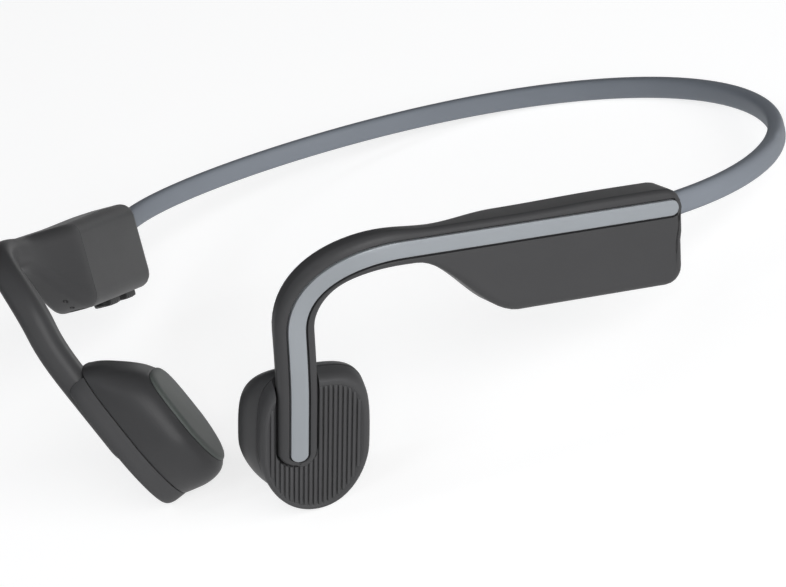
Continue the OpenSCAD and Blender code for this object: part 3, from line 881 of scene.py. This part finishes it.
def make_band():
    """One band for the flexible neckband, which also stands for the wire and cable inside it."""
    parts = ("band", "core_wire", "band_cable")
    band = finish_piece(band_shape().object("neckband"), None, "band_rubber",
                        [f"{part}_{name}" for part in parts for name in SIDES], sharp=50)
    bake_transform(band)


def make_transducers():
    ribs, notch = rib_bars().placed(in_transducer), arm_notch().placed(in_transducer)
    housing, pad = housing_shape().placed(in_transducer), pad_shape().placed(in_transducer)
    for name, side in SIDES.items():
        shell = cover_shell(COVER_SKIRT[name]).placed(in_transducer)
        cover = shell.object(f"ribbed_cover_{name}_moulding", scale=1)
        carve(cover, notch.object("notch", scale=1))
        bars = carve(ribs.object("bars", scale=1), notch.object("notch", scale=1))
        join = bmesh.new()
        join.from_mesh(cover.data)
        join.from_mesh(bars.data)
        join.to_mesh(cover.data)
        join.free()
        bpy.data.objects.remove(bars)
        to_row(cover, side)
        finish_piece(cover, "multifunction" if name == "left" else "right_side", "ribbed_rubber",
                     [f"ribbed_cover_{name}"], sharp=32)
        weighted_normals(cover)
        finish_piece(housing.object(f"transducer_housing_{name}_body", side), f"{name}_side",
                     "hook_plastic", [f"transducer_housing_{name}"], sharp=40)
        finish_piece(pad.object(f"contact_pad_{name}_silicone", side), f"{name}_side",
                     "contact_silicone", [f"contact_pad_{name}"], sharp=60)


def make_controls():
    for body, y in VOLUME_Y.items():
        cap = volume_shape(y).object(f"{body}_cap", -1)
        finish_piece(cap, body, "button_plastic", [f"{body}_button"], sharp=50)
    flap = flap_shape().object("port_cover_flap", -1)
    finish_piece(flap, "port_flap", "flap_rubber", ["port_cover"], sharp=50)


def dress_internals():
    """Procedural finishes on the CAD nodes that stay."""
    for part in frame["record"]["subparts"]:
        node = CAD_NODES[part["node"]]
        node.data.materials.clear()
        node.data.materials.append(material(part["material_slot"]))


# ---------- studio ----------
CAMERA_AZIMUTH, CAMERA_ELEVATION, CAMERA_ROLL = 46.58, 25.81, -25.57
CAMERA_DISTANCE, CAMERA_LENS = 0.51175, 150.3
CAMERA_TARGET = Vector((0.04659, -0.05267, 0.03749))


def direction(azimuth, elevation):
    level = cosine(elevation)
    return Vector((sine(azimuth) * level, -cosine(azimuth) * level, sine(elevation)))


def make_camera():
    data = bpy.data.cameras.new("camera")
    data.lens, data.sensor_width = CAMERA_LENS, 36
    camera = bpy.data.objects.new("camera", data)
    back = direction(CAMERA_AZIMUTH, CAMERA_ELEVATION)
    level = Vector((cosine(CAMERA_AZIMUTH), sine(CAMERA_AZIMUTH), 0))
    up = back.cross(level)
    right = cosine(CAMERA_ROLL) * level + sine(CAMERA_ROLL) * up
    turned_up = -sine(CAMERA_ROLL) * level + cosine(CAMERA_ROLL) * up
    camera.matrix_world = Matrix.Translation(CAMERA_TARGET + back * CAMERA_DISTANCE) @ Matrix(
        (right, turned_up, back)).transposed().to_4x4()
    data.clip_start, data.clip_end = 0.01, 20
    bpy.context.scene.collection.objects.link(camera)
    bpy.context.scene.camera = camera


def make_softbox(name, azimuth, elevation, distance, size, energy, colour=(1, 1, 1)):
    data = bpy.data.lights.new(name, "AREA")
    data.shape, data.size, data.size_y = "RECTANGLE", size[0], size[1]
    data.energy, data.color = energy, colour
    lamp = bpy.data.objects.new(name, data)
    centre = (CAD_BOX[0] + CAD_BOX[1]) / 2
    lamp.location = centre + direction(azimuth, elevation) * distance
    lamp.rotation_euler = direction(azimuth, elevation).to_track_quat("Z", "Y").to_euler()
    lamp.visible_camera = False
    bpy.context.scene.collection.objects.link(lamp)


WORLD_GLOW = 0.08
FLOOR_GLOW = 0.74
# Softboxes: azimuth, elevation, distance, size, power and colour
SOFTBOXES = {
    "key": (66, 22, 1.3, (1.2, 0.8), 21, (1, 1, 1)),
    "fill": (-5, 50, 2.0, (1.2, 0.7), 5, (0.95, 0.97, 1.0)),
    "side": (-60, 40, 2.0, (0.1, 1.6), 3, (0.88, 0.94, 1.0)),
    "top": (-80, 70, 2.0, (0.9, 1.5), 3, (0.95, 0.97, 1.0)),
}


def make_studio():
    world = bpy.data.worlds.new("studio")
    bpy.context.scene.world = world
    world.use_nodes = True
    background = world.node_tree.nodes["Background"]
    background.inputs["Color"].default_value = (0.97, 0.98, 1.0, 1)
    background.inputs["Strength"].default_value = WORLD_GLOW
    bpy.context.scene.view_settings.view_transform = "Standard"
    for name, settings in SOFTBOXES.items():
        make_softbox(name, *settings)
    bpy.ops.mesh.primitive_grid_add(x_subdivisions=8, y_subdivisions=8, size=60)
    floor = bpy.context.object
    floor.name = "floor"
    floor.data.materials.append(floor_material())


make_camera()
dress_internals()
make_hooks()
make_strips()
make_band()
make_transducers()
make_controls()
make_studio()
